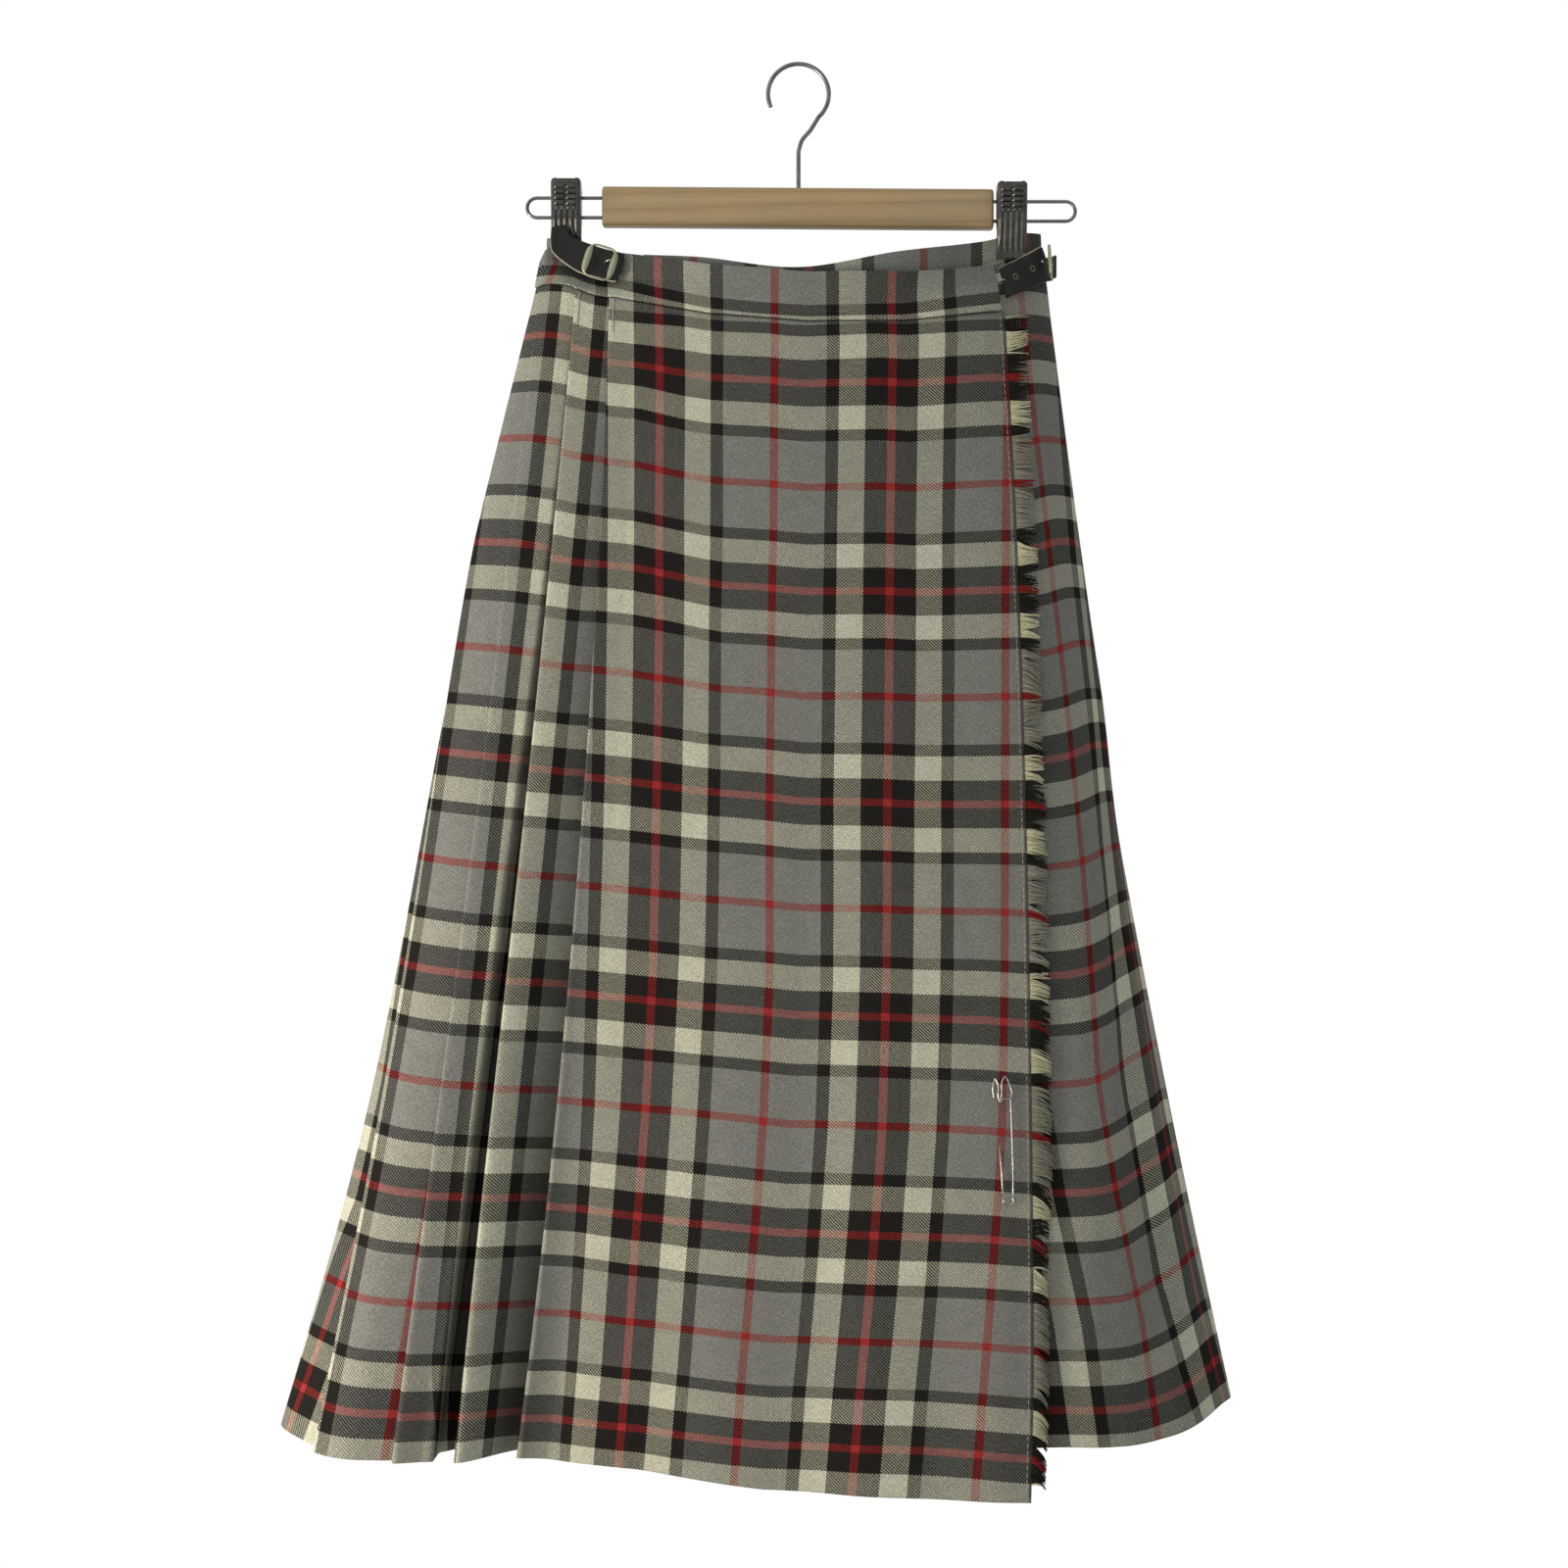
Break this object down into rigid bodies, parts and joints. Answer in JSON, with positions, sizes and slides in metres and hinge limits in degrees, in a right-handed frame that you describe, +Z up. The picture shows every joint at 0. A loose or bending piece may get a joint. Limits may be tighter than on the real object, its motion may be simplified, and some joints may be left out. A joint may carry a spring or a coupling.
{
  "type": "kilted wrap skirt on a clip hanger",
  "caption": "Long pleated wrap skirt of wool tartan with a fringed front apron, side straps and a blanket pin, clipped by its waistband to a wooden hanger.",
  "frame": {"origin": "inside top of the hanger's hook, where a rail holds it", "axes": "+Z up, the skirt's front faces -Y, its left side as a viewer sees it is -X"},
  "size_m": [0.6845, 0.2523, 1.014],
  "materials": {
    "wool_tartan": "brushed 2/2 twill",
    "strap_leather": "smooth with a raw cream edge",
    "buckle_chrome": "polished",
    "clip_steel": "dark, polished by wear",
    "hanger_wire": "drawn wire",
    "hanger_wood": "pale beech, satin"
  },
  "bodies": {
    "root": {"front_apron": "wool_tartan", "apron_fringe": "wool_tartan", "under_apron": "wool_tartan", "pleats_left": "wool_tartan", "pleats_back_left": "wool_tartan", "pleats_back_right": "wool_tartan", "pleats_right": "wool_tartan", "waistband_front": "wool_tartan", "waistband_back": "wool_tartan", "waistband_under": "wool_tartan", "strap_left": "strap_leather", "strap_right": "strap_leather", "buckle_left": "buckle_chrome", "buckle_left_prong": "buckle_chrome", "buckle_left_tab": "strap_leather", "buckle_right": "buckle_chrome", "buckle_right_prong": "buckle_chrome", "buckle_right_tab": "strap_leather", "kilt_pin": "buckle_chrome", "kilt_pin_cap": "buckle_chrome", "hanger_bar": "hanger_wood", "hanger_hook": "hanger_wire", "wire_loop_left": "hanger_wire", "wire_loop_right": "hanger_wire", "clip_left_front": "clip_steel", "clip_left_back": "clip_steel", "clip_left_spring": "clip_steel", "clip_right_front": "clip_steel", "clip_right_back": "clip_steel", "clip_right_spring": "clip_steel"}
  },
  "joints": []
}
